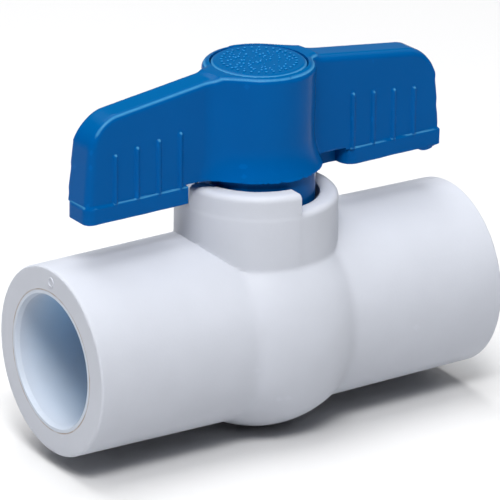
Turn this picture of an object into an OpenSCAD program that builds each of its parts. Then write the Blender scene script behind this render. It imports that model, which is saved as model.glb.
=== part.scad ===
// Half-inch compact ball valve with two slip sockets and a quarter-turn wing handle.
// Origin: centre of the ball. +X runs along the pipe to the outlet and +Z up the stem.
// The valve is shown open: the handle lies along the pipe. It closes clockwise seen from above.

/* [Pipe sockets] */
// Inside diameter of the sockets, for 21.34 mm pipe
socket_d = 21.44; // [21.40:0.01:21.60]
// Depth of each socket
socket_depth = 17.5; // [15:0.1:19]
// Diameter of the waterway through sleeves and ball
waterway_d = 14.5; // [12:0.1:14.6]
// Diameter of the sockets' lead-in at the mouth
mouth_d = 22.08; // [21.8:0.01:22.4]

/* [Body] */
// Overall length from socket face to socket face
valve_length = 76.9; // [75:0.1:84]
// Outside diameter of the barrels at the socket faces
barrel_d = 31; // [30:0.1:32]
// How much thicker the barrels are at mid-length, for draft
barrel_draft = 0.8; // [0:0.1:1]
// Diameter of the ball-shaped middle
bulge_d = 36.4; // [35.6:0.1:38]
// Radius of the blends between the middle and the barrels
blend_r = 0.5; // [0.3:0.1:2]
// Outside diameter of the neck
neck_d = 26.4; // [26:0.1:27]
// Height of the neck's raised quarters above the pipe's axis
neck_high = 25; // [24.6:0.1:25.2]
// Height of the neck's low quarters above the pipe's axis
neck_low = 21.7; // [21:0.1:22.4]
// Edge rounding of the neck's top
edge_r = 0.9; // [0.3:0.1:1.2]
// Edge rounding of the barrels' ends
barrel_edge_r = 0.4; // [0.3:0.1:1.2]

/* [Sleeves and seats] */
// Outside diameter of the sleeves in the barrels
sleeve_d = 23.3; // [22.9:0.1:23.6]
// Outside diameter of the ball carrier that the two sleeves form
carrier_d = 28.4; // [28:0.1:29]
// Outside diameter of the seats
seat_d = 21.9; // [21.5:0.1:21.9]
// Thickness of the seats along the pipe
seat_t = 3.75; // [3.5:0.05:3.75]
// Section diameter of the seals behind the seats
seat_seal_t = 1.8; // [1.6:0.1:1.8]

/* [Ball and stem] */
// Diameter of the ball
ball_d = 24; // [23.6:0.1:24]
// Diameter of the stem in its bore
stem_d = 10; // [9.6:0.1:10]
// Side of the square that drives the handle
drive_square = 6.6; // [6.2:0.1:6.6]
// Width of the tang that turns the ball
tang_w = 3.9; // [3.4:0.1:4.1]
// Section diameter of the stem's O-rings
stem_ring_t = 1.5; // [1.3:0.1:1.6]

/* [Handle] */
// Distance from the stem's axis to the wings' tips
wing_reach = 34.4; // [33:0.1:36]
// Height of the handle's top above the pipe's axis
hub_top = 43.3; // [43:0.1:44]
// Diameter of the hub at its top
hub_top_d = 18.3; // [18.1:0.1:19]
// Radius of the hollow curve in which the hub flares out towards its foot
hub_flare_r = 12; // [10:0.5:20]
// Radius of the blend between the hub and the left side of each wing, seen from the hub
wing_blend_r = 3.6; // [2:0.1:4]
// Diameter of the skirt that reaches down into the neck
skirt_d = 18.9; // [18.5:0.1:19.2]
// Width of the wings' rims
rim_w = 6.2; // [5.9:0.1:6.6]
// Width of the wings' walls at their top
wing_w = 5.2; // [4.6:0.1:5.4]
// Fall of the wings' top edges from hub to tip, in degrees
wing_fall = 7.3; // [5:0.1:9]
// Grip ribs on each side of each wing
rib_count = 4; // [1:1:4]
// Distance between grip ribs
rib_pitch = 4.1; // [3.6:0.01:4.4]
// Angle by which the handle leads the stem, up to the open stop, in degrees
handle_lead = 2; // [0:0.1:2]

/* [Hidden] */
$fn = 96;
eps = 0.01;

half_length = valve_length / 2;
barrel_r = barrel_d / 2;
barrel_mid_r = barrel_r + barrel_draft / 2;
bulge_r = bulge_d / 2;
neck_r = neck_d / 2;
neck_bore_r = 10.15;
neck_floor = 18;
gland_r = 7.2;
gland_top = 23;
open_stop_y = 1.85;
closed_quarter_y = 0.2;

sleeve_r = sleeve_d / 2;
carrier_r = carrier_d / 2;
carrier_waist_r = 13;
carrier_end = 15;
chamber_r = 12.5;
seat_back = 11.8;
groove_depth = 1.8;
groove_inner_r = 8.3;
socket_floor = half_length - socket_depth;
lead_in = 0.8;

ball_r = ball_d / 2;
seat_gap = 0.15;
seat_bore_r = waterway_d / 2 + 0.15;
slot_floor = 8.9;
tang_play = 0.1;

stem_r = stem_d / 2;
stem_play = 0.05;
flange_r = 6.5;
flange_bottom = 12.6;
flange_t = 1.5;
washer_roof = 15;
drive_bottom = 23.3;
drive_top = 32.6;
drive_play = 0.15;
ring_heights = [17.2, 20.4];
screw_r = 2;

skirt_bottom = 19;
hub_foot = 26.3;
hub_flare_top = 32;
rim_bottom = 23.2;
rim_top = 26.1;
rim_start_r = 15.6;
cap_r = 7.75;
cap_seat = 41.2;
cap_t = 2.2;
well_r = 6;
well_floor = 34.5;
shoulder_x = 13.95;
shoulder_z = 42.3;
tip_corner_r = 4.7;
tip_step = 0.3;
tip_lean = 0.35;
wall_foot_z = 20;
wall_foot_w = rim_w - 0.6;
hollow_w = 2.4;
hollow_start = rim_start_r + 2;
first_rib = 16.9;
first_rib_top = 35.5;
rib_top_fall = 0.42;

// Points of an arc about c from angle a0 to a1, both ends included
function arc(c, r, a0, a1, steps = 6) =
    [for (i = [0:steps]) c + r * [cos(a0 + (a1 - a0) * i / steps), sin(a0 + (a1 - a0) * i / steps)]];

// Turns a profile whose X is along the pipe and whose Y is the radius about the pipe's axis
module about_pipe() {
    rotate([0, 90, 0])
        rotate_extrude()
            mirror([1, -1])
                children();
}

module tube(outer_r, inner_r, bottom, height) {
    translate([0, 0, bottom])
        difference() {
            cylinder(h = height, r = outer_r);
            translate([0, 0, -eps])
                cylinder(h = height + 2 * eps, r = inner_r);
        }
}

module torus(mid_r, section_d) {
    rotate_extrude()
        translate([mid_r, 0])
            circle(d = section_d, $fn = 48);
}

// Both drafted barrels in one turned shape, with rounded ends
module barrels() {
    end = half_length - barrel_edge_r;
    about_pipe()
        polygon(concat(
            [[-half_length, 0]],
            arc([-end, barrel_r - barrel_edge_r], barrel_edge_r, 180, 90),
            [[0, barrel_mid_r]],
            arc([end, barrel_r - barrel_edge_r], barrel_edge_r, 90, 0),
            [[half_length, 0]]
        ));
}

// Hollow blend between the round middle and the barrel on the +X side
module bulge_blend() {
    centre_r = barrel_mid_r + blend_r - 0.15;
    centre_x = sqrt(pow(bulge_r + blend_r, 2) - pow(centre_r, 2));
    touch = bulge_r / (bulge_r + blend_r);
    about_pipe()
        difference() {
            polygon([
                [centre_x * touch, centre_r * touch],
                [centre_x, centre_r - blend_r],
                [centre_x, centre_r - 2 * blend_r],
                [centre_x * touch - blend_r, centre_r - 2 * blend_r]
            ]);
            translate([centre_x, centre_r])
                circle(r = blend_r);
        }
}

// Neck wall up to the given height, with its outer top edge rounded
module neck_wall(top) {
    rotate_extrude()
        polygon(concat(
            [[0, 0], [neck_r, 0]],
            arc([neck_r - edge_r, top - edge_r], edge_r, 0, 90),
            [[0, top]]
        ));
}

// One of the two quarters where the neck stands high, from a plane across the pipe round to start_y
module high_quarter(start_y) {
    intersection() {
        neck_wall(neck_high);
        translate([0, start_y, 0])
            cube([neck_r + 1, 2 * neck_r, neck_high + 1]);
    }
}

module body() {
    color([0.93, 0.94, 0.96])
        difference() {
            union() {
                barrels();
                sphere(r = bulge_r);
                bulge_blend();
                mirror([1, 0, 0])
                    bulge_blend();
                neck_wall(neck_low);
                high_quarter(open_stop_y);
                rotate([0, 0, 180])
                    high_quarter(closed_quarter_y);
            }
            carrier_envelope();
            rotate([0, 0, 180])
                carrier_envelope();
            tube(neck_bore_r, gland_r, neck_floor, neck_high);
            translate([0, 0, gland_top])
                cylinder(h = neck_high, r = gland_r + eps);
            cylinder(h = washer_roof, r = flange_r + stem_play);
            cylinder(h = neck_high, r = stem_r + stem_play);
        }
}

// Outside of one sleeve, from mid-length to the socket face
module carrier_envelope() {
    intersection() {
        sphere(r = carrier_r);
        translate([0, -carrier_r, -carrier_r])
            cube([carrier_r, carrier_d, carrier_d]);
    }
    rotate([0, 90, 0])
        cylinder(h = carrier_end, r = carrier_waist_r);
    rotate([0, 90, 0])
        cylinder(h = half_length, r = sleeve_r);
}

// The outlet's sleeve: half of the ball's chamber, the seat's pocket, the waterway and the socket
module sleeve() {
    color([0.96, 0.96, 0.97])
        difference() {
            carrier_envelope();
            sphere(r = chamber_r);
            rotate([0, 90, 0])
                cylinder(h = seat_back, d = seat_d + 0.1);
            translate([seat_back - eps, 0, 0])
                rotate([0, 90, 0])
                    tube(seat_d / 2 - 0.65, groove_inner_r, 0, groove_depth + eps);
            rotate([0, 90, 0])
                cylinder(h = half_length, d = waterway_d);
            translate([socket_floor, 0, 0])
                rotate([0, 90, 0])
                    cylinder(h = socket_depth + eps, d = socket_d);
            translate([half_length - lead_in, 0, 0])
                rotate([0, 90, 0])
                    cylinder(h = lead_in + eps, d1 = socket_d, d2 = mouth_d);
            cylinder(h = bulge_r, r = flange_r + stem_play);
        }
}

module outlet_sleeve() {
    sleeve();
}

module inlet_sleeve() {
    rotate([0, 0, 180])
        sleeve();
}

// The outlet's seat, hollowed to the ball's curve
module seat() {
    color([0.98, 0.97, 0.93])
        difference() {
            translate([seat_back - seat_t, 0, 0])
                rotate([0, 90, 0])
                    tube(seat_d / 2, seat_bore_r, 0, seat_t - eps);
            sphere(r = ball_r + seat_gap);
        }
}

module outlet_seat() {
    seat();
}

module inlet_seat() {
    rotate([0, 0, 180])
        seat();
}

// The rubber ring that presses the outlet's seat onto the ball
module seat_seal() {
    color([0.1, 0.1, 0.1])
        translate([seat_back + groove_depth / 2, 0, 0])
            rotate([0, 90, 0])
                torus((seat_d / 2 - 0.65 + groove_inner_r) / 2, seat_seal_t);
}

module outlet_seat_seal() {
    seat_seal();
}

module inlet_seat_seal() {
    rotate([0, 0, 180])
        seat_seal();
}

module ball() {
    slot_w = tang_w + 2 * tang_play;
    color([0.9, 0.9, 0.92])
        difference() {
            sphere(r = ball_r);
            translate([-ball_r, 0, 0])
                rotate([0, 90, 0])
                    cylinder(h = ball_d, d = waterway_d);
            translate([-slot_w / 2, -ball_r, slot_floor])
                cube([slot_w, ball_d, ball_r]);
        }
}

module stem() {
    tang_l = 9.6;
    screw_hole_bottom = 22.6;
    color([0.9, 0.9, 0.92])
        difference() {
            union() {
                intersection() {
                    translate([-tang_w / 2, -tang_l / 2, slot_floor + tang_play])
                        cube([tang_w, tang_l, flange_bottom - slot_floor]);
                    cylinder(h = bulge_r, r = stem_r);
                }
                translate([0, 0, flange_bottom])
                    cylinder(h = flange_t, r = flange_r);
                translate([0, 0, flange_bottom])
                    cylinder(h = drive_bottom - flange_bottom, r = stem_r);
                translate([-drive_square / 2, -drive_square / 2, drive_bottom - 1])
                    cube([drive_square, drive_square, drive_top - drive_bottom + 1]);
            }
            for (height = ring_heights)
                tube(stem_r + 1, stem_r - stem_ring_t, height - 0.9, 1.8);
            translate([0, 0, screw_hole_bottom])
                cylinder(h = drive_top, r = screw_r + stem_play);
        }
}

module stem_thrust_washer() {
    washer_bottom = flange_bottom + flange_t + stem_play;
    color([0.98, 0.97, 0.93])
        tube(flange_r, stem_r + 2 * stem_play, washer_bottom, washer_roof - washer_bottom);
}

module stem_ring(height) {
    color([0.1, 0.1, 0.1])
        translate([0, 0, height])
            torus(stem_r - stem_ring_t / 2, stem_ring_t);
}

module stem_ring_lower() {
    stem_ring(ring_heights[0]);
}

module stem_ring_upper() {
    stem_ring(ring_heights[1]);
}

// Side view of a wing's wall: X is the distance from the stem's axis, Y the height
module wing_side(inset = 0) {
    inner_x = 5;
    tip_x = wing_reach - tip_step - tip_lean - inset;
    top_z = shoulder_z - inset + tan(wing_fall) * shoulder_x;
    corner_x = tip_x - tip_corner_r;
    corner_z = top_z - tan(wing_fall) * corner_x - tip_corner_r / cos(wing_fall);
    polygon(concat(
        [[inner_x, rim_bottom], [inner_x, top_z - tan(wing_fall) * inner_x]],
        arc([corner_x, corner_z], tip_corner_r, 90 - wing_fall, 2, 8),
        [[tip_x + tip_lean, rim_bottom]]
    ));
}

module wing_side_slab(width) {
    rotate([90, 0, 0])
        translate([0, 0, -width / 2])
            linear_extrude(width)
                wing_side();
}

// Cross-section of a wing's wall, drafted and rounded along its top edges: X is across, Y the height
module wing_section() {
    top_round = 1;
    polygon(concat(
        [[-wall_foot_w / 2, wall_foot_z], [wall_foot_w / 2, wall_foot_z]],
        arc([wing_w / 2 - top_round, shoulder_z - top_round], top_round, 0, 90),
        arc([top_round - wing_w / 2, shoulder_z - top_round], top_round, 90, 180)
    ));
}

module wing_wall() {
    top_gap = 0.25;
    intersection() {
        wing_side_slab(2 * rim_w);
        translate([shoulder_x, 0, shoulder_z])
            rotate([0, wing_fall, 0])
                translate([-shoulder_x, 0, -shoulder_z])
                    rotate([90, 0, 90])
                        translate([0, 0, -wing_reach])
                            linear_extrude(3 * wing_reach)
                                wing_section();
        translate([0, -rim_w, hub_foot - top_gap])
            cube([wing_reach, 2 * rim_w, hub_top - hub_foot]);
    }
}

// Hollow upright blend between the hub and the left side of a wing's wall, which it runs just into
module wing_blend() {
    sink = 0.05;
    centre_y = wing_w / 2 + wing_blend_r - sink;
    centre_r = hub_top_d / 2 + wing_blend_r - sink;
    centre_x = sqrt(pow(centre_r, 2) - pow(centre_y, 2));
    touch = (hub_top_d / 2 - sink) / centre_r;
    intersection() {
        translate([0, 0, hub_foot + sink])
            linear_extrude(hub_top - 1 - hub_foot)
                difference() {
                    polygon([
                        [centre_x * touch, centre_y * touch],
                        [centre_x, wing_w / 2 - sink],
                        [centre_x, wing_w / 2 - 1],
                        [centre_x * touch - 1, wing_w / 2 - 1]
                    ]);
                    translate([centre_x, centre_y])
                        circle(r = wing_blend_r);
                }
        wing_side_slab(4 * wing_w);
    }
}

// Thick band round the wing's open foot, with rounded tip corners and an end that follows the neck
module wing_rim() {
    corner_r = 1.2;
    difference() {
        translate([0, 0, rim_bottom])
            linear_extrude(rim_top - rim_bottom) {
                translate([0, -rim_w / 2])
                    square([wing_reach - corner_r, rim_w]);
                translate([0, corner_r - rim_w / 2])
                    square([wing_reach, rim_w - 2 * corner_r]);
                for (side = [-1, 1])
                    translate([wing_reach - corner_r, side * (rim_w / 2 - corner_r)])
                        circle(r = corner_r);
            }
        cylinder(h = hub_top, r = rim_start_r);
    }
}

// Upright round ribs that stand a little out of both sides of the wall and end on the rim
module grip_ribs() {
    rib_r = 0.45;
    sink = 0.17;
    lean = (wall_foot_w - wing_w) / 2 / (shoulder_z - wall_foot_z);
    for (i = [0:rib_count - 1]) {
        rib_top = first_rib_top - rib_top_fall * i;
        wall_y = wall_foot_w / 2 - lean * (rib_top - wall_foot_z);
        for (side = [-1, 1])
            translate([first_rib + i * rib_pitch, side * (wall_y - sink), rim_top - 1])
                cylinder(h = rib_top - rim_top + 1, r = rib_r, $fn = 24);
    }
}

// Open hollow in a wing's foot: narrow up inside the wall, wider through the rim
module wing_hollow() {
    wall_t = 2;
    rim_wall_t = 1.5;
    rim_hollow_start = rim_start_r + 1.6;
    translate([0, hollow_w / 2, 0])
        rotate([90, 0, 0])
            linear_extrude(hollow_w)
                intersection() {
                    wing_side(wall_t);
                    translate([hollow_start, 0])
                        square([wing_reach - hollow_start - wall_t - 0.4, hub_top]);
                }
    translate([rim_hollow_start, rim_wall_t - rim_w / 2, rim_bottom - 1])
        cube([wing_reach - rim_hollow_start - 1.7, rim_w - 2 * rim_wall_t, rim_top - rim_bottom + 0.6]);
}

// Web under the outlet's wing that meets the neck's high quarters, and so stops the handle
module stop_web() {
    web_t = 1.2;
    web_overlap = 0.6;
    translate([skirt_d / 2 - web_overlap, 0, rim_bottom])
        cube([rim_start_r - skirt_d / 2 + 2 * web_overlap, web_t, hub_foot - rim_bottom + 1]);
}

// One wing: wall, rim, ribs, and a gate nib under the rim
module wing() {
    nib_x = 32;
    nib_t = 0.8;
    nib_r = 3.7;
    nib_drop = 0.5;
    difference() {
        union() {
            wing_wall();
            wing_blend();
            wing_rim();
            grip_ribs();
        }
        wing_hollow();
    }
    translate([nib_x, 0.1 + nib_t - rim_w / 2, rim_bottom - nib_drop + nib_r])
        rotate([90, 0, 0])
            intersection() {
                cylinder(h = nib_t, r = nib_r);
                translate([-nib_r, -nib_r, 0])
                    cube([2 * nib_r, 1.2, nib_t]);
            }
}

module hub() {
    top_round = 0.9;
    flare_angle = asin((hub_flare_top - hub_foot) / hub_flare_r);
    rotate_extrude()
        polygon(concat(
            [[0, skirt_bottom], [skirt_d / 2, skirt_bottom], [skirt_d / 2, hub_foot]],
            arc([hub_top_d / 2 + hub_flare_r, hub_flare_top], hub_flare_r, 180 + flare_angle, 180, 8),
            arc([hub_top_d / 2 - top_round, hub_top - top_round], top_round, 0, 90),
            [[0, hub_top]]
        ));
}

module handle() {
    coring_top = 31.5;
    gland_clearance = 0.4;
    cap_clearance = 0.15;
    socket = drive_square + 2 * drive_play;
    color([0.0, 0.35, 0.62])
        rotate([0, 0, handle_lead])
            difference() {
                union() {
                    hub();
                    stop_web();
                    wing();
                    rotate([0, 0, 180])
                        wing();
                }
                translate([0, 0, skirt_bottom - 1])
                    cylinder(h = gland_top - skirt_bottom + 1.6, r = gland_r + gland_clearance);
                tube(gland_r + gland_clearance, well_r, gland_top, coring_top - gland_top);
                translate([-socket / 2, -socket / 2, gland_top])
                    cube([socket, socket, drive_top + 0.2 - gland_top]);
                cylinder(h = hub_top, r = screw_r + 0.2);
                translate([0, 0, well_floor])
                    cylinder(h = hub_top, r = well_r);
                translate([0, 0, cap_seat])
                    cylinder(h = hub_top, r = cap_r + cap_clearance);
            }
}

module handle_screw() {
    shank_l = 11;
    flange_h = 0.8;
    head_flange_r = 4.2;
    head_h = 2.2;
    head_r = 3.4;
    recess = [0.9, 3.6, 2.5];
    recess_depth = 1.6;
    color([0.75, 0.75, 0.77])
        difference() {
            union() {
                translate([0, 0, well_floor - shank_l])
                    cylinder(h = shank_l + flange_h, r = screw_r);
                translate([0, 0, well_floor])
                    cylinder(h = flange_h, r = head_flange_r);
                translate([0, 0, well_floor + flange_h])
                    cylinder(h = head_h, r = head_r);
            }
            for (turn = [0, 90])
                rotate([0, 0, turn])
                    translate([-recess[0] / 2, -recess[1] / 2, well_floor + flange_h + head_h - recess_depth])
                        cube(recess);
        }
}

// Plug that closes the hub's top, with a ring of raised ticks
module handle_cap() {
    plug_h = 2.7;
    edge = 0.7;
    tick_count = 32;
    tick = [0.8, 0.36, 0.4];
    tick_start = 5.6;
    color([0.0, 0.42, 0.70])
        rotate([0, 0, handle_lead]) {
            rotate_extrude()
                polygon(concat(
                    [[0, cap_seat], [cap_r, cap_seat]],
                    arc([cap_r - edge, cap_seat + cap_t - edge], edge, 0, 90, 4),
                    [[0, cap_seat + cap_t]]
                ));
            tube(well_r - 0.05, well_r - 1, cap_seat - plug_h, plug_h);
            for (i = [0:tick_count - 1])
                rotate([0, 0, i * 360 / tick_count])
                    translate([tick_start, -tick[1] / 2, cap_seat + cap_t - tick[2] / 2])
                        cube(tick);
        }
}

body();
inlet_sleeve();
outlet_sleeve();
inlet_seat();
outlet_seat();
inlet_seat_seal();
outlet_seat_seal();
ball();
stem();
stem_thrust_washer();
stem_ring_lower();
stem_ring_upper();
handle();
handle_screw();
handle_cap();
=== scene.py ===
"""Looks of a half-inch compact ball valve: meshes, materials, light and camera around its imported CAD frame.

Shapes are worked out in millimetres as distance fields: a field is negative inside the solid, zero on its
surface and positive outside. contour() turns a field into a mesh with crisp creases. The valve's own axes are
the frame's: +X along the pipe to the outlet, +Z up the stem.
"""
import math

import bpy
import numpy as np
from mathutils import Matrix, Vector


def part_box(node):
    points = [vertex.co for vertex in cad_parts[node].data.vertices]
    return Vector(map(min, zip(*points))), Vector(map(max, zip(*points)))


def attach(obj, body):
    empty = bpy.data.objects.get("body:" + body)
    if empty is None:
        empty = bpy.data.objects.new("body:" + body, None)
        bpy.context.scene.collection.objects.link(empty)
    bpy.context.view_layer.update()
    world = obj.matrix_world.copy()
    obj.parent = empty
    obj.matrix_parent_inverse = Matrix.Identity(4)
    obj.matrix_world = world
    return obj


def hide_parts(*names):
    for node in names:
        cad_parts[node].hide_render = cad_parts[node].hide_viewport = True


MM = 0.001

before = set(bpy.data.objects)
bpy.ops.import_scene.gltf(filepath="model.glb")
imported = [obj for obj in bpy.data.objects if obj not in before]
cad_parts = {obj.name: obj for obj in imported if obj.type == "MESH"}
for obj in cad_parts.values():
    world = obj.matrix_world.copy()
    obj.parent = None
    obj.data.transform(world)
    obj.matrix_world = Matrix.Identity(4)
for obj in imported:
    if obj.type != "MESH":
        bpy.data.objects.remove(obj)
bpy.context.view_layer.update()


# ---------------------------------------------------------------- sizes, from the frame where it knows them

def span(node):
    """Lowest and highest corner of a CAD node, in millimetres."""
    low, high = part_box(node)
    return np.array(low) / MM, np.array(high) / MM


body_low, body_high = span("body")
cap_low, cap_high = span("handle_cap")

# Barrels and round middle
HALF_LENGTH = body_high[0]
BARREL_END_R = 15.5
BARREL_MID_R = 15.9
BARREL_EDGE_R = 0.4
BULGE_R = -body_low[2]
BULGE_BLEND_R = 0.4
GATE_MARK_Z = 13.4
GATE_MARK_R = 0.9
GATE_MARK_RELIEF = 0.12
GATE_MARK_ROOT = 0.3

# Neck: its two high quarters end at the stops
NECK_R = 13.2
NECK_ROOT = 5.0
NECK_LOW = 21.7
NECK_HIGH = body_high[2]
NECK_EDGE_R = 1.0
NECK_BLEND_R = 0.25
NECK_BORE_R = 10.15
NECK_FLOOR = 18.0
NECK_FLOOR_R = 0.5
NECK_MOUTH_R = 0.35
GLAND_R = 7.2
GLAND_TOP = 23.0
OPEN_STOP_Y = 1.85
NEAR_QUARTER_Y = -0.2
QUARTER_CORNER_R = 0.3
QUARTER_EDGE_R = 0.45

# Room in the housing for the sleeves and the stem
CARRIER_R = 14.2
CARRIER_WAIST_R = 13.0
CARRIER_END = 15.0
SLEEVE_R = 11.65
STEM_POCKET_R = 6.55
STEM_POCKET_TOP = 15.0
STEM_BORE_R = 5.05

# Hub and skirt of the handle
HANDLE_LEAD = math.radians(2.0)
SKIRT_R = 9.45
SKIRT_BOTTOM = 19.0
SKIRT_EDGE_R = 0.3
HUB_TOP = span("handle")[1][2]
HUB_TOP_R = 9.13
HUB_FOOT = 26.3
HUB_FOOT_R = 10.6
HUB_FLARE_R = 12.0
HUB_FLARE_TOP = 32.0
FOOT_EDGE_R = 0.3
CROWN_R = HUB_TOP_R + 0.35
CROWN_EDGE_R = 0.3
CROWN_BLEND_R = 1.6
ROOT = 1.0

# Walls of the wings. A pair holds the left and the right side's value, looking out from the stem
WING_REACH = 34.6
WING_FALL = math.radians(7.3)
WING_BLEND_R = (3.6, 0.7)
WALL_REACH = 34.45
WALL_HALF_W = 2.6
WALL_DRAFT = 0.22
WALL_TOP_EDGE_R = (0.9, 1.2)
WALL_END_EDGE_R = (1.2, 0.4)
SHOULDER = (13.95, 42.45)
TIP_CORNER_R = 4.7
TIP_LEAN = 0.08
END_EDGE_FROM_X = 29.0
END_EDGE_BELOW_Z = 36.0
END_EDGE_FADE = 3.0

# Rims, grip ribs, gate nibs and stop web of the wings
RIM_BOTTOM = 23.2
RIM_TOP = 26.1
RIM_HALF_W = 3.1
RIM_START_R = 15.6
RIM_END_R = (0.3, 2.6)
RIM_EDGE_R = 0.22
RIM_BLEND_R = 0.1
INLET_RIM_CORNER_R = 1.6
OUTLET_RIM_CORNER_R = (1.3, 0.3)
WALL_START_R = RIM_START_R + 0.3
WALL_FOOT = RIM_TOP - 0.1
RIB_COUNT = 4
FIRST_RIB = 16.9
FIRST_RIB_TOP = 35.07
RIB_PITCH = 4.1
RIB_TOP_FALL = 0.42
RIB_R = 0.48
RIB_SUNK = 0.1
RIB_FOOT = RIM_TOP - 0.2
RIB_BLEND_R = 0.12
NIB_CENTRE = (32.0, 26.4)
NIB_R = 3.67
NIB_SIDES = (-3.0, -2.2)
NIB_BLEND_R = 0.05
WEB_T = 1.2
WEB_ROOT = 0.8
WEB_EDGE_R = 0.2

# Hollows in the handle's underside
WALL_T = 2.0
WALL_HOLLOW_HALF_W = 1.3
WALL_HOLLOW_CORNER_R = 0.6
TIP_T = 2.4
RIM_HOLLOW_HALF_W = RIM_HALF_W - 1.5
RIM_HOLLOW_CORNER_R = 0.8
RIM_INNER_T = 1.6
RIM_TIP_T = 1.7
RIM_ROOF_T = 0.4
HOLLOW_EDGE_R = 0.2
GLAND_ROOM_R = GLAND_R + 0.4
GLAND_ROOM_TOP = GLAND_TOP + 0.6
CORING_TOP = 31.5
DRIVE_HALF_W = 3.45
DRIVE_TOP = 32.8
SCREW_HOLE_R = 2.2
WELL_R = 6.0
WELL_FLOOR = 34.5

# Cap
CAP_SEAT = 41.2
CAP_SEAT_EDGE_R = 0.15
CAP_TOP = HUB_TOP + 0.1
CAP_R = 7.75
CAP_GAP = 0.13
CAP_EDGE_R = 0.75
CAP_BASE = CAP_SEAT + 0.02
TICK_COUNT = 32
TICK_HALF_W = 0.16
TICK_REACH = (5.8, 6.2)
TICK_RELIEF = 0.15
PLUG_R = (WELL_R - 1, WELL_R - 0.05)
CAP_ROOT = 0.5


# ---------------------------------------------------------------- fields

def join(a, b, r=0.0):
    """Union of two fields, with a concave blend of radius r."""
    if np.ndim(r) == 0 and r == 0:
        return np.minimum(a, b)
    return np.maximum(r, np.minimum(a, b)) - np.hypot(np.maximum(r - a, 0), np.maximum(r - b, 0))


def meet(a, b, r=0.0):
    """Intersection of two fields, with an edge rounding of radius r."""
    if np.ndim(r) == 0 and r == 0:
        return np.maximum(a, b)
    return np.minimum(-r, np.maximum(a, b)) + np.hypot(np.maximum(r + a, 0), np.maximum(r + b, 0))


def cut(a, b, r=0.0):
    """Field a without field b."""
    return meet(a, -b, r)


def between(value, low, high):
    """Slab where value lies between low and high."""
    return np.maximum(low - value, value - high)


def rise(value, start, run):
    """0 up to start, then rising evenly to 1 over run."""
    return np.clip((value - start) / run, 0, 1)


def body_field(x, y, z):
    """Housing: two drafted barrels, the round middle, the neck with two high and two low quarters."""
    along = np.abs(x)
    pipe_r = np.hypot(y, z)
    stem_r = np.hypot(x, y)
    centre_r = np.sqrt(x * x + y * y + z * z)

    draft = BARREL_MID_R - (BARREL_MID_R - BARREL_END_R) * along / HALF_LENGTH
    barrel = meet(pipe_r - draft, along - HALF_LENGTH, BARREL_EDGE_R)
    solid = join(barrel, centre_r - BULGE_R, BULGE_BLEND_R)

    column = np.maximum(stem_r - NECK_R, NECK_ROOT - z)
    low_wall = meet(column, z - NECK_LOW, NECK_EDGE_R)
    far_quarter = meet(-x, OPEN_STOP_Y - y, QUARTER_CORNER_R)
    near_quarter = meet(x, y - NEAR_QUARTER_Y, QUARTER_CORNER_R)
    high_wall = meet(column, z - NECK_HIGH, NECK_EDGE_R)
    high_wall = meet(high_wall, join(far_quarter, near_quarter), QUARTER_EDGE_R)
    solid = join(solid, low_wall, NECK_BLEND_R)
    solid = join(solid, high_wall, NECK_BLEND_R)

    annulus = meet(between(stem_r, GLAND_R, NECK_BORE_R), NECK_FLOOR - z, NECK_FLOOR_R)
    hair = 0.01
    above_gland = np.maximum(stem_r - GLAND_R - hair, GLAND_TOP - z)
    solid = cut(solid, join(annulus, above_gland), NECK_MOUTH_R)
    carrier = join(centre_r - CARRIER_R, np.maximum(pipe_r - CARRIER_WAIST_R, along - CARRIER_END))
    solid = cut(solid, join(carrier, pipe_r - SLEEVE_R))
    stem_way = join(np.maximum(stem_r - STEM_POCKET_R, z - STEM_POCKET_TOP), stem_r - STEM_BORE_R)
    return cut(solid, np.maximum(stem_way, -z))


def gate_mark_field(x, y, z):
    """Low round mark that the moulding gate leaves on the inlet's end face, dished in the middle."""
    from_middle = np.hypot(y, z - GATE_MARK_Z)
    proud = -HALF_LENGTH - x
    lip_w = 0.35
    dish_floor = 0.02
    mark = meet(from_middle - GATE_MARK_R, between(proud, -GATE_MARK_ROOT, GATE_MARK_RELIEF), 0.08)
    dish = meet(from_middle - GATE_MARK_R + lip_w, dish_floor - proud, 0.03)
    return cut(mark, dish, 0.05)


def wing_axes(x, y):
    """The handle's own coordinates, then each wing's: along it from the stem, and across it to its left."""
    cos_lead = math.cos(HANDLE_LEAD)
    sin_lead = math.sin(HANDLE_LEAD)
    hx = x * cos_lead + y * sin_lead
    hy = y * cos_lead - x * sin_lead
    turn = np.where(hx < 0, -1.0, 1.0)
    return hx, hy, hx * turn, hy * turn


def by_side(across, pair):
    """A pair's left or right value, after the side of the wing that a point is on."""
    return np.where(across > 0, *pair)


def wing_half_w(z):
    """Half the wall's thickness at height z: it is drafted."""
    draft_end = 1.2
    return WALL_HALF_W + WALL_DRAFT * np.clip((SHOULDER[1] - z) / (SHOULDER[1] - RIM_TOP), 0, draft_end)


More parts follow.
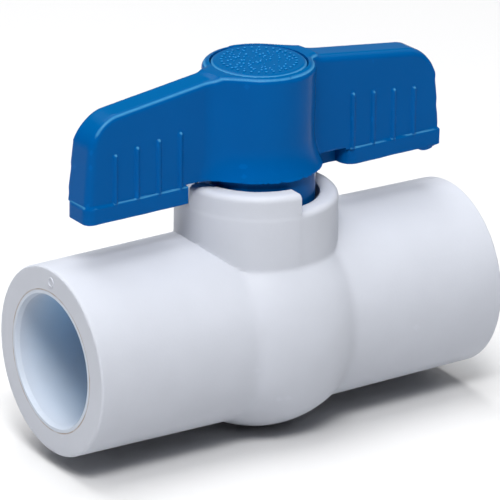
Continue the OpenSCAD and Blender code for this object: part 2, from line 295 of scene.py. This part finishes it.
def wing_outline(x, y, z):
    """Fields of the handle's plan, of a wing's sloping top and of the whole top, and the rounding of the edge
    between plan and top."""
    hx, hy, along, across = wing_axes(x, y)
    stem_r = np.hypot(hx, hy)
    below = np.clip(HUB_FLARE_TOP - z, 0, HUB_FLARE_TOP - HUB_FOOT)
    flare = HUB_TOP_R + HUB_FLARE_R - np.sqrt(HUB_FLARE_R ** 2 - below ** 2)
    plan = join(stem_r - flare, np.abs(hy) - wing_half_w(z), by_side(across, WING_BLEND_R))
    fall = (z - SHOULDER[1]) * math.cos(WING_FALL) + (along - SHOULDER[0]) * math.sin(WING_FALL)
    tip = along - (WALL_REACH - TIP_LEAN * (z - RIM_TOP))
    crown = meet(stem_r - CROWN_R, z - HUB_TOP, CROWN_EDGE_R)
    top = np.maximum(join(crown, meet(fall, tip, TIP_CORNER_R), CROWN_BLEND_R), z - HUB_TOP)
    at_end = rise(along, END_EDGE_FROM_X, END_EDGE_FADE) * (1 - rise(z, END_EDGE_BELOW_Z, END_EDGE_FADE))
    top_edge = by_side(across, WALL_TOP_EDGE_R)
    edge = top_edge + at_end * (by_side(across, WALL_END_EDGE_R) - top_edge)
    return plan, fall, top, edge


def ribs():
    """Each grip rib's distance from the stem's axis and its height."""
    return [(FIRST_RIB + RIB_PITCH * i, FIRST_RIB_TOP - RIB_TOP_FALL * i) for i in range(RIB_COUNT)]


def rim_field(x, y, z):
    """Rims round the wings' feet. Their tip corners differ from wing to wing and from side to side."""
    hx, hy, along, across = wing_axes(x, y)
    corner_r = np.where(hx < 0, INLET_RIM_CORNER_R, by_side(across, OUTLET_RIM_CORNER_R))
    rim = meet(along - WING_REACH, np.abs(hy) - RIM_HALF_W, corner_r)
    rim = meet(rim, RIM_START_R - np.hypot(hx, hy), by_side(across, RIM_END_R))
    return meet(rim, between(z, RIM_BOTTOM, RIM_TOP), RIM_EDGE_R)


def web_field(x, y, z):
    """Web from the skirt to the outlet's rim, which comes up against the neck's stops."""
    hx, hy, _, _ = wing_axes(x, y)
    web = np.maximum(between(hy, 0.0, WEB_T), between(z, RIM_BOTTOM, HUB_FOOT + ROOT))
    return meet(web, between(hx, SKIRT_R - WEB_ROOT, RIM_START_R + WEB_ROOT), WEB_EDGE_R)


def rib_field(x, y, z, rib_x, crest):
    """One upright grip rib with a round top, on both sides of both wings."""
    _, hy, along, _ = wing_axes(x, y)
    off_wall = np.abs(hy) - wing_half_w(z) + RIB_SUNK
    above = np.maximum(z - crest, 0)
    rib = np.sqrt((along - rib_x) ** 2 + off_wall ** 2 + above * above) - RIB_R
    return np.maximum(rib, RIB_FOOT - z)


def nib_field(x, y, z):
    """Gate nib under each rim, near its tip."""
    _, _, along, across = wing_axes(x, y)
    nib = np.hypot(along - NIB_CENTRE[0], z - NIB_CENTRE[1]) - NIB_R
    return np.maximum(np.maximum(nib, between(across, *NIB_SIDES)), z - RIM_BOTTOM - NIB_BLEND_R)


def wing_hollow_field(x, y, z):
    """Hollow in each wing, open below: narrow in the wall and wider in the rim."""
    _, hy, along, _ = wing_axes(x, y)
    side = np.abs(hy)
    fall = wing_outline(x, y, z)[1]
    in_wall = between(along, RIM_START_R + WALL_T, WING_REACH - TIP_T)
    in_wall = meet(in_wall, side - WALL_HOLLOW_HALF_W, WALL_HOLLOW_CORNER_R)
    in_wall = np.maximum(in_wall, fall + WALL_T)
    in_rim = between(along, RIM_START_R + RIM_INNER_T, WING_REACH - RIM_TIP_T)
    in_rim = meet(in_rim, side - RIM_HOLLOW_HALF_W, RIM_HOLLOW_CORNER_R)
    in_rim = np.maximum(in_rim, z - RIM_TOP + RIM_ROOF_T)
    return join(in_wall, in_rim, HOLLOW_EDGE_R)


def hub_room_field(x, y, z):
    """Room in the hub for the gland, the square drive, the screw and its head, and the coring round them."""
    hx, hy, _, _ = wing_axes(x, y)
    stem_r = np.hypot(hx, hy)
    gland_room = np.maximum(stem_r - GLAND_ROOM_R, z - GLAND_ROOM_TOP)
    coring = np.maximum(between(stem_r, WELL_R, GLAND_ROOM_R), z - CORING_TOP)
    drive = np.maximum(np.maximum(np.abs(hx), np.abs(hy)) - DRIVE_HALF_W, z - DRIVE_TOP)
    well = np.maximum(stem_r - WELL_R, WELL_FLOOR - z)
    room = join(join(gland_room, coring), join(drive, stem_r - SCREW_HOLE_R))
    return join(room, well)


def handle_field(x, y, z):
    """Handle: hub, skirt, stop web and two wings, each the other turned half round."""
    stem_r = np.hypot(x, y)
    plan, _, top, edge = wing_outline(x, y, z)
    foot = np.minimum(HUB_FOOT - z, WALL_START_R - stem_r)
    solid = meet(meet(plan, top, edge), foot, FOOT_EDGE_R)
    solid = np.maximum(solid, WALL_FOOT - z)
    solid = join(solid, rim_field(x, y, z), RIM_BLEND_R)
    solid = join(solid, web_field(x, y, z), WEB_EDGE_R)
    skirt = meet(stem_r - SKIRT_R, between(z, SKIRT_BOTTOM, HUB_FOOT + ROOT), SKIRT_EDGE_R)
    solid = join(solid, skirt, SKIRT_EDGE_R)
    for rib_x, crest in ribs():
        solid = join(solid, rib_field(x, y, z, rib_x, crest), RIB_BLEND_R)
    solid = join(solid, nib_field(x, y, z), NIB_BLEND_R)

    solid = cut(solid, wing_hollow_field(x, y, z), HOLLOW_EDGE_R)
    solid = cut(solid, hub_room_field(x, y, z))
    cap_seat = np.maximum(stem_r - CAP_R - CAP_GAP, CAP_SEAT - z)
    return cut(solid, cap_seat, CAP_SEAT_EDGE_R)


def cap_dots():
    """Places and sizes of the small raised dots scattered over the cap, the same each run."""
    scatter = np.random.default_rng(11)
    count = 120
    reach = 5.5
    smallest = 0.13
    golden_angle = math.pi * (3 - math.sqrt(5))
    dots = []
    for i in range(count):
        r = reach * math.sqrt((i + 0.5) / count)
        angle = i * golden_angle + scatter.uniform(-0.5, 0.5) / max(r, 1.0)
        size = scatter.uniform(0.1, 0.24)
        if size > smallest:
            dots.append((r * math.cos(angle), r * math.sin(angle), size))
    return dots


DOTS = cap_dots()


def cap_field(x, y, z):
    """Round plug in the hub's top, with a ring of raised ticks, scattered dots and a plug skirt below."""
    stem_r = np.hypot(x, y)
    disc = meet(stem_r - CAP_R, z - CAP_TOP, CAP_EDGE_R)
    disc = np.maximum(disc, CAP_BASE - z)

    pitch = 2 * math.pi / TICK_COUNT
    from_tick = np.abs((np.arctan2(y, x) + pitch / 2) % pitch - pitch / 2) * stem_r
    marks = np.maximum(from_tick - TICK_HALF_W, between(stem_r, *TICK_REACH))
    marks = np.maximum(marks, between(z, CAP_TOP - CAP_ROOT, CAP_TOP + TICK_RELIEF))
    for dot_x, dot_y, size in DOTS:
        dot = np.sqrt((x - dot_x) ** 2 + (y - dot_y) ** 2 + (z - CAP_TOP) ** 2) - size
        marks = np.minimum(marks, dot)

    plug = np.maximum(between(stem_r, *PLUG_R), between(z, cap_low[2], CAP_SEAT + CAP_ROOT))
    return join(join(disc, marks), plug)


# ---------------------------------------------------------------- painted highlights along edges

def near_line(distance, width):
    """1 within half a width of a line, fading to 0 at one and a half widths."""
    return np.clip(1.5 - distance / width, 0, 1)


def round_edge(face, other_face, edge_r):
    """0 where the rounding between two faces starts, and 1 halfway round it."""
    return rise(np.minimum(face, other_face) / edge_r, -1, math.sqrt(0.5))


def handle_painted_highlight(x, y, z):
    """Mask of the painted highlight: 1 along the handle's rounded top edges, the rims' steps and the ribs'
    tops, and 0 elsewhere.
    """
    step_w = 0.25
    rib_tip_w = 0.35
    rib_tip_above = 0.3
    under_skin = 0.1
    edge_highlight_weight = (1.0, 0.3)
    hub_edge_h = 0.7
    _, hy, along, across = wing_axes(x, y)
    side = np.abs(hy)
    plan, _, top, edge = wing_outline(x, y, z)
    rim = np.maximum(along - WING_REACH, side - RIM_HALF_W)
    # Painted highlight along the rims' steps and at the ribs' tops
    small = near_line(np.hypot(z - RIM_TOP, rim + under_skin), step_w)
    for rib_x, crest in ribs():
        depth = np.maximum(wing_half_w(z) + under_skin - side, 0)
        from_tip = np.hypot(along - rib_x, z - crest - rib_tip_above) + 2 * depth
        small = np.maximum(small, near_line(from_tip, rib_tip_w))
    # Weight of the painted highlight along the top edges and round the hub's top
    edge_lightening = by_side(across, edge_highlight_weight) * rise(along, 5, 4)
    edge_lightening = np.maximum(edge_lightening, rise(z, HUB_TOP - hub_edge_h, 0.3))
    edge_lightening = edge_lightening * rise(z, END_EDGE_BELOW_Z, 2)
    return np.maximum(round_edge(plan, top, edge) * edge_lightening, small)


def cap_painted_highlight(x, y, z):
    """Mask of the painted highlight: 1 along the cap's rounded edge and 0 elsewhere."""
    on_edge = round_edge(np.hypot(x, y) - CAP_R, z - CAP_TOP, CAP_EDGE_R)
    return on_edge * (z < CAP_TOP + 0.01)


# ---------------------------------------------------------------- from field to mesh

def grid_lines(low, high, margin, coarse, fine=None, zones=()):
    """Grid positions from a margin below low to a margin above high, with fine steps inside the zones and
    coarse ones elsewhere. Each margin is an odd size, so that no flat face lies on a grid position."""
    marks = [low - margin]
    while marks[-1] < high + margin:
        here = marks[-1]
        near = any(a - coarse <= here < b for a, b in zones)
        marks.append(here + (fine if near else coarse))
    return np.array(marks)


def slope(field, p, h=0.01):
    """Unit gradient of a field at the points p."""
    grad = np.empty_like(p)
    for axis in range(3):
        step = np.zeros(3)
        step[axis] = h
        ahead, behind = p + step, p - step
        grad[:, axis] = field(*ahead.T) - field(*behind.T)
    return grad / np.maximum(np.linalg.norm(grad, axis=1, keepdims=True), 1e-9)


def crossings(values, lines, axis):
    """Grid edges along axis that cross the surface: their indices, crossing points and directions."""
    size = values.shape[axis]
    a = np.take(values, range(size - 1), axis)
    b = np.take(values, range(1, size), axis)
    index = np.argwhere((a < 0) != (b < 0))
    va, vb = a[tuple(index.T)], b[tuple(index.T)]
    points = np.stack([lines[d][index[:, d]] for d in range(3)], axis=1)
    step = lines[axis][index[:, axis] + 1] - lines[axis][index[:, axis]]
    points[:, axis] += step * va / (va - vb)
    return index, points, va < 0


def contour(name, field, lines, crease_deg=30, painted_highlight=None):
    """Mesh of a field's surface: one vertex per grid cell that it crosses, set where the planes of the
    cell's crossings meet, and one quad round each grid edge that crosses it. The painted highlight mask is
    stored per vertex."""
    slices_at_once = 8
    pull_to_middle = 0.03
    xs, ys, zs = lines
    values = np.concatenate([field(xs[i:i + slices_at_once, None, None], ys[None, :, None], zs[None, None, :])
                             for i in range(0, len(xs), slices_at_once)])
    shape = values.shape
    rings = []
    outward = []
    cells = []
    points = []
    normals = []
    for axis in range(3):
        index, at, leaving = crossings(values, lines, axis)
        normal = slope(field, at)
        e, f = (axis + 1) % 3, (axis + 2) % 3
        ring = []
        for de, df in ((1, 1), (0, 1), (0, 0), (1, 0)):
            corner = index.copy()
            corner[:, e] -= de
            corner[:, f] -= df
            ring.append(np.ravel_multi_index(tuple(corner.T), shape))
        ring = np.stack(ring, axis=1)
        rings.append(ring)
        outward.append(leaving)
        cells.append(ring.ravel())
        points.append(np.repeat(at, 4, axis=0))
        normals.append(np.repeat(normal, 4, axis=0))
    rings, outward, cells, points, normals = map(np.concatenate, (rings, outward, cells, points, normals))

    used, cell = np.unique(cells, return_inverse=True)
    count = np.bincount(cell)
    middle = np.stack([np.bincount(cell, points[:, d]) for d in range(3)], axis=1) / count[:, None]
    offset = np.einsum("ij,ij->i", normals, points - middle[cell])
    rhs = np.stack([np.bincount(cell, normals[:, d] * offset) for d in range(3)], axis=1)
    planes = np.empty((len(used), 3, 3))
    for r in range(3):
        for c in range(3):
            planes[:, r, c] = np.bincount(cell, normals[:, r] * normals[:, c])
    planes += pull_to_middle * np.eye(3)
    shift = np.linalg.solve(planes, rhs[:, :, None])[:, :, 0]
    corner = np.stack(np.unravel_index(used, shape), axis=1)
    low = np.stack([lines[d][corner[:, d]] for d in range(3)], axis=1)
    high = np.stack([lines[d][np.minimum(corner[:, d] + 1, shape[d] - 1)] for d in range(3)], axis=1)
    vertices = np.clip(middle + shift, low, high)

    quads = np.searchsorted(used, rings)
    quads[~outward] = quads[~outward][:, ::-1]
    mesh = bpy.data.meshes.new(name)
    mesh.from_pydata((vertices * MM).tolist(), [], quads.tolist())
    # Per-vertex mask of a painted highlight, read by the material
    if painted_highlight:
        mesh.attributes.new("painted_highlight", "FLOAT", "POINT").data.foreach_set("value", painted_highlight(*vertices.T))
    return finished(name, mesh, crease_deg)


def finished(name, mesh, crease_deg):
    """Object for a mesh, shaded smooth except across creases."""
    mesh.validate()
    mesh.shade_smooth()
    mesh.set_sharp_from_angle(angle=math.radians(crease_deg))
    piece = bpy.data.objects.new(name, mesh)
    bpy.context.scene.collection.objects.link(piece)
    return piece


# ---------------------------------------------------------------- pieces

def make_body():
    """Shell of the housing, with a finer grid at its ends and round the neck's top."""
    near_end = (HALF_LENGTH - 0.8, HALF_LENGTH + 0.3)
    far_end = (-near_end[1], -near_end[0])
    neck_top = (NECK_LOW - 1.3, NECK_HIGH + 0.3)
    lines = (grid_lines(-HALF_LENGTH, HALF_LENGTH, 0.61, 0.5, 0.15, (far_end, near_end)),
             grid_lines(-BULGE_R, BULGE_R, 0.63, 0.4),
             grid_lines(-BULGE_R, NECK_HIGH, 0.62, 0.4, 0.25, (neck_top,)))
    piece = contour("body_shell", body_field, lines)
    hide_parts("body")
    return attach(piece, "housing")


def make_gate_mark():
    """Mark that stands a little proud of the inlet's end face and is rooted in it."""
    end = -HALF_LENGTH
    lines = (grid_lines(end - GATE_MARK_RELIEF, end + GATE_MARK_ROOT, 0.11, 0.05),
             grid_lines(-GATE_MARK_R, GATE_MARK_R, 0.13, 0.06),
             grid_lines(GATE_MARK_Z - GATE_MARK_R, GATE_MARK_Z + GATE_MARK_R, 0.13, 0.06))
    piece = contour("gate_mark", gate_mark_field, lines)
    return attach(piece, "housing")


def make_handle():
    """Shell of the handle, with a finer grid at its ribs and its sides."""
    rib_zone = 0.7
    outlet_ribs = tuple((x - rib_zone, x + rib_zone) for x, _ in ribs())
    inlet_ribs = tuple((-b, -a) for a, b in reversed(outlet_ribs))
    right_face = (WALL_HALF_W - 0.3, RIM_HALF_W + 0.5)
    left_face = (-right_face[1], -right_face[0])
    lines = (grid_lines(-WING_REACH, WING_REACH, 0.81, 0.35, 0.14, inlet_ribs + outlet_ribs),
             grid_lines(-HUB_FOOT_R, HUB_FOOT_R, 0.63, 0.35, 0.18, (left_face, right_face)),
             grid_lines(SKIRT_BOTTOM, HUB_TOP, 0.52, 0.3))
    piece = contour("handle_shell", handle_field, lines, painted_highlight=handle_painted_highlight)
    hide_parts("handle")
    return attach(piece, "turning_handle")


def make_cap():
    """Shell of the cap, with a finer grid at the height of its marks."""
    relief = (CAP_SEAT + 0.8, cap_high[2])
    lines = (grid_lines(-CAP_R, CAP_R, 0.37, 0.11),
             grid_lines(-CAP_R, CAP_R, 0.37, 0.11),
             grid_lines(cap_low[2], cap_high[2], 0.41, 0.4, 0.12, (relief,)))
    piece = contour("cap_plug", cap_field, lines, painted_highlight=cap_painted_highlight)
    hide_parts("handle_cap")
    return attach(piece, "turning_handle")


# ---------------------------------------------------------------- materials

class Shade:
    """One material's node tree, built with short calls. Lengths in it are in millimetres."""

    def __init__(self, name):
        self.material = bpy.data.materials.new(name)
        self.material.use_nodes = True
        self.tree = self.material.node_tree
        self.surface = self.tree.nodes["Principled BSDF"]
        place = self.add("ShaderNodeTexCoord").outputs["Object"]
        self.place = self.add("ShaderNodeMapping", {"Vector": place, "Scale": (1 / MM,) * 3}).outputs[0]

    def add(self, kind, inputs=None, **settings):
        node = self.tree.nodes.new(kind)
        for key, value in settings.items():
            setattr(node, key, value)
        for key, value in (inputs or {}).items():
            self.put(node.inputs[key], value)
        return node

    def put(self, socket, value):
        if isinstance(value, bpy.types.NodeSocket):
            self.tree.links.new(value, socket)
        else:
            socket.default_value = value

    def noise(self, scale, detail=2.0, stretch=(1, 1, 1)):
        """Soft noise, near 0.5 on average, with about scale features a millimetre."""
        place = self.add("ShaderNodeMapping", {"Vector": self.place, "Scale": stretch}).outputs[0]
        noise = self.add("ShaderNodeTexNoise", {"Vector": place, "Scale": scale, "Detail": detail})
        return noise.outputs["Fac"]

    def split(self, vector):
        """The x, y and z of a vector."""
        return self.add("ShaderNodeSeparateXYZ", {0: vector}).outputs

    def upward(self):
        """1 where the surface looks up, -1 where it looks down."""
        return self.split(self.add("ShaderNodeNewGeometry").outputs["Normal"])[2]

    def ramp(self, value, low, high, out_low=0.0, out_high=1.0):
        return self.add("ShaderNodeMapRange", {"Value": value, "From Min": low, "From Max": high,
                                               "To Min": out_low, "To Max": out_high}).outputs[0]

    def math(self, operation, a, b=0.0):
        return self.add("ShaderNodeMath", {0: a, 1: b}, operation=operation).outputs[0]

    def mix(self, factor, a, b):
        node = self.add("ShaderNodeMix", {"Factor": factor}, data_type="RGBA")
        self.put(node.inputs[6], a)
        self.put(node.inputs[7], b)
        return node.outputs[2]

    def wear(self, low=0.52, high=0.60):
        """1 on sharp outer edges, 0 elsewhere."""
        pointed = self.add("ShaderNodeNewGeometry").outputs["Pointiness"]
        return self.ramp(pointed, low, high)

    def bump(self, height, depth_mm, strength=1.0, under=None):
        inputs = {"Height": height, "Distance": depth_mm * MM, "Strength": strength}
        if under is not None:
            inputs["Normal"] = under
        return self.add("ShaderNodeBump", inputs).outputs[0]

    def finish(self, **sockets):
        for key, value in sockets.items():
            self.put(self.surface.inputs[key.replace("_", " ")], value)
        return self.material


# Linear colours
WHITE = (0.515, 0.537, 0.594)
SLEEVE_WHITE = (0.51, 0.56, 0.64)
# Painted bluish shade inside the sockets
SOCKET_SHADE_BLUE = (0.42, 0.68, 0.95)
BALL_WHITE = (0.56, 0.57, 0.60)
SEAT_IVORY = (0.60, 0.585, 0.54)
SEAM_BROWN = (0.33, 0.25, 0.19)
BLUE = (0.0, 0.082, 0.292)
CAP_BLUE = (0.0, 0.088, 0.30)
# Painted shade: deeper blue for the blue parts' faces that look up
BLUE_PAINTED_TOP_SHADE = (0.0, 0.080, 0.238)
BLUE_SHEEN = (0.6, 0.8, 1.0)
# Painted highlight: pale line along the handle's and the cap's rounded edges
PAINTED_HIGHLIGHT_BLUE = (0.05, 0.235, 0.45)
# Painted highlight on the tops of the cap's raised marks
MARK_HIGHLIGHT_BLUE = (0.02, 0.2, 0.46)


def tint(colour, factor=1.0):
    return tuple(c * factor for c in colour) + (1.0,)


def moulded(name, colour, roughness, specular=0.35, edge_lightening=1.06, sheen_tint=(1.0, 1.0, 1.0), details=()):
    """Injection-moulded plastic: faint clouding and flow marks, fine grain, and lighter sharp edges: edge
    wear, and on the blue parts also painted highlight. Each of the details is a function that lays one more
    colour over the base."""
    s = Shade(name)
    cloud = s.noise(0.09, 3.0)
    flow = s.noise(0.25, 2.0, (0.25, 1.0, 1.0))
    grain = s.noise(3.2, 2.0)
    base = s.mix(s.ramp(cloud, 0.3, 0.7), tint(colour, 0.965), tint(colour, 1.02))
    base = s.mix(s.math("MULTIPLY", s.ramp(grain, 0.35, 0.75), 0.06), base, tint(colour, 0.86))
    # Lighter sharp edges: edge wear, and on the blue parts also painted highlight
    base = s.mix(s.math("MULTIPLY", s.wear(), 0.5), base, tint(colour, edge_lightening))
    for detail in details:
        base = detail(s, base)
    uneven = s.math("ADD", s.math("MULTIPLY", flow, 0.7), s.math("MULTIPLY", grain, 0.3))
    rough = s.ramp(uneven, 0.3, 0.7, roughness - 0.04, roughness + 0.05)
    normal = s.bump(grain, 0.012, 0.6)
    normal = s.bump(flow, 0.05, 0.35, normal)
    return s.finish(Base_Color=base, Roughness=rough, Normal=normal, Specular_IOR_Level=specular,
                    Specular_Tint=tint(sheen_tint))


def painted_top_shade_and_highlight(s, base):
    """Painted shade, a deeper blue on the faces that look up, and a painted highlight, a pale line along
    their rounded edges.
    """
    # Painted shade on the faces that look up
    base = s.mix(s.ramp(s.upward(), 0.35, 0.95), base, tint(BLUE_PAINTED_TOP_SHADE))
    # Painted highlight along the rounded edges, from the per-vertex mask
    highlight_mask = s.add("ShaderNodeAttribute", attribute_name="painted_highlight").outputs["Fac"]
    return s.mix(s.ramp(highlight_mask, 0.6, 1.0, 0.0, 0.9), base, tint(PAINTED_HIGHLIGHT_BLUE))


def painted_mark_highlight(s, base):
    """Painted highlight on the cap's raised marks: their tops are coloured pale."""
    marks_from = CAP_TOP + 0.07
    height = s.split(s.place)[2]
    return s.mix(s.ramp(height, marks_from, marks_from + 0.08), base, tint(MARK_HIGHLIGHT_BLUE))


def painted_socket_shade(s, base):
    """Painted bluish shade inside a socket, strongest in the depth and overhead."""
    overhead = s.ramp(s.upward(), 0.6, -0.7, 0.25, 1.0)
    along = s.math("ABSOLUTE", s.split(s.place)[0])
    deep = s.ramp(along, HALF_LENGTH - 1.0, HALF_LENGTH - 9.0)
    return s.mix(s.math("MULTIPLY", overhead, deep), base, tint(SOCKET_SHADE_BLUE))


def sleeve_seam(s, base):
    """Thin patchy line round the sleeve's edge, on the end faces only. The widths are in millimetres."""
    x, y, z = s.split(s.place)
    radius = s.math("SQRT", s.math("ADD", s.math("MULTIPLY", y, y), s.math("MULTIPLY", z, z)))
    off = s.math("ABSOLUTE", s.math("SUBTRACT", radius, SLEEVE_R))
    line = s.ramp(off, 0.16, 0.04)
    at_end = s.ramp(s.math("ABSOLUTE", x), HALF_LENGTH - 0.3, HALF_LENGTH - 0.15)
    patchy = s.ramp(s.noise(0.35, 2.0), 0.35, 0.6, 0.35, 0.9)
    line = s.math("MULTIPLY", s.math("MULTIPLY", line, at_end), patchy)
    return s.mix(line, base, tint(SEAM_BROWN))


def rubber():
    s = Shade("seal_rubber")
    grain = s.noise(6.0, 3.0)
    base = s.mix(s.ramp(grain, 0.3, 0.7), (0.018, 0.018, 0.019, 1), (0.04, 0.04, 0.042, 1))
    rough = s.ramp(s.noise(1.2), 0.3, 0.7, 0.55, 0.75)
    return s.finish(Base_Color=base, Roughness=rough, Normal=s.bump(grain, 0.02, 0.6))


def steel():
    s = Shade("screw_steel")
    turned_marks = s.noise(2.5, 3.0, (1, 1, 6))
    base = s.mix(s.ramp(turned_marks, 0.3, 0.7), (0.5, 0.5, 0.52, 1), (0.68, 0.68, 0.7, 1))
    rough = s.ramp(turned_marks, 0.3, 0.7, 0.22, 0.4)
    return s.finish(Base_Color=base, Roughness=rough, Metallic=1.0, Normal=s.bump(turned_marks, 0.01, 0.5))


def dress(piece, material):
    """Gives every material slot of a piece or CAD node the one material."""
    if not piece.material_slots:
        piece.data.materials.append(material)
    for slot in piece.material_slots:
        slot.material = material


body_piece = make_body()
gate_mark = make_gate_mark()
handle_piece = make_handle()
cap_piece = make_cap()

white = moulded("white_pvc", WHITE, 0.42, specular=0.12, details=(sleeve_seam,))
sleeve_white = moulded("sleeve_pvc", SLEEVE_WHITE, 0.42, specular=0.12, details=(painted_socket_shade, sleeve_seam))
inner_white = moulded("inner_pvc", BALL_WHITE, 0.28)
seat_white = moulded("seat_plastic", SEAT_IVORY, 0.5, specular=0.25)
# The blue parts' stronger edge lightening is partly painted highlight
handle_blue = moulded("handle_blue", BLUE, 0.2, specular=0.05, edge_lightening=1.3, sheen_tint=BLUE_SHEEN,
                      details=(painted_top_shade_and_highlight,))
cap_blue = moulded("cap_blue", CAP_BLUE, 0.2, specular=0.05, edge_lightening=1.4, sheen_tint=BLUE_SHEEN,
                   details=(painted_top_shade_and_highlight, painted_mark_highlight))
seal_black = rubber()
screw_steel = steel()

dress(body_piece, white)
dress(gate_mark, white)
dress(handle_piece, handle_blue)
dress(cap_piece, cap_blue)
for node, material in (
        ("inlet_sleeve", sleeve_white), ("outlet_sleeve", sleeve_white),
        ("inlet_seat", seat_white), ("outlet_seat", seat_white), ("stem_thrust_washer", seat_white),
        ("inlet_seat_seal", seal_black), ("outlet_seat_seal", seal_black),
        ("stem_ring_lower", seal_black), ("stem_ring_upper", seal_black),
        ("ball", inner_white), ("stem", inner_white), ("handle_screw", screw_steel)):
    dress(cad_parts[node], material)


# ---------------------------------------------------------------- floor, light and camera

def make_floor():
    """Plain pale floor under the round middle."""
    half = 2.0
    z = -BULGE_R * MM
    corners = [(-half, -half, z), (half, -half, z), (half, half, z), (-half, half, z)]
    mesh = bpy.data.meshes.new("floor")
    mesh.from_pydata(corners, [], [(0, 1, 2, 3)])
    floor = bpy.data.objects.new("floor", mesh)
    bpy.context.scene.collection.objects.link(floor)
    s = Shade("floor_pale")
    base = s.mix(s.noise(0.01, 2.0), (0.655, 0.655, 0.66, 1), (0.68, 0.68, 0.685, 1))
    dress(floor, s.finish(Base_Color=base, Roughness=0.9, Specular_IOR_Level=0.1))


def softbox(name, azimuth, elevation, away, size, watts):
    """Area light that faces the valve. Azimuth 0 is the -Y side, 90 the +X side; both angles in degrees."""
    a, e = math.radians(azimuth), math.radians(elevation)
    toward = Vector((math.sin(a) * math.cos(e), -math.cos(a) * math.cos(e), math.sin(e)))
    light = bpy.data.lights.new(name, "AREA")
    light.shape = "RECTANGLE"
    light.size, light.size_y = size
    light.energy = watts
    lamp = bpy.data.objects.new(name, light)
    bpy.context.scene.collection.objects.link(lamp)
    lamp.location = toward * away
    lamp.rotation_euler = (-toward).to_track_quat("-Z", "Y").to_euler()


def make_light():
    world = bpy.data.worlds.new("studio")
    world.use_nodes = True
    world.node_tree.nodes["Background"].inputs["Color"].default_value = (1, 1, 1, 1)
    world.node_tree.nodes["Background"].inputs["Strength"].default_value = 0.02
    bpy.context.scene.world = world
    softbox("top_softbox", 0, 90, 0.8, (0.5, 0.5), 3.4)
    softbox("key_softbox", -30, 53, 0.8, (0.25, 0.16), 4.3)
    softbox("backdrop_softbox", 145, 12, 1.2, (1.2, 0.35), 0.3)
    softbox("left_softbox", -68, 60, 0.8, (0.5, 0.5), 2.6)
    softbox("right_softbox", 90, 40, 0.9, (0.6, 0.6), 1.3)
    softbox("back_softbox", 180, 60, 0.8, (0.5, 0.5), 2.8)


def make_camera():
    """The long-lens view from above the inlet's side, slightly rolled."""
    azimuth = math.radians(33.98)
    elevation = math.radians(21.63)
    roll = math.radians(1.125)
    aim = Vector((-0.001, 0, 0.01124))
    away = 0.7427
    back = Vector((-math.sin(azimuth) * math.cos(elevation), -math.cos(azimuth) * math.cos(elevation),
                   math.sin(elevation)))
    level = Vector((math.cos(azimuth), -math.sin(azimuth), 0))
    upright = back.cross(level)
    right = level * math.cos(roll) + upright * math.sin(roll)
    up = upright * math.cos(roll) - level * math.sin(roll)
    data = bpy.data.cameras.new("camera")
    data.lens = 332.4
    data.sensor_width = 36.0
    data.clip_start = 0.01
    camera = bpy.data.objects.new("camera", data)
    bpy.context.scene.collection.objects.link(camera)
    turn = Matrix((right, up, back)).transposed().to_4x4()
    camera.matrix_world = Matrix.Translation(aim + back * away) @ turn
    bpy.context.scene.camera = camera


make_floor()
make_light()
make_camera()
bpy.context.scene.view_settings.view_transform = "Standard"
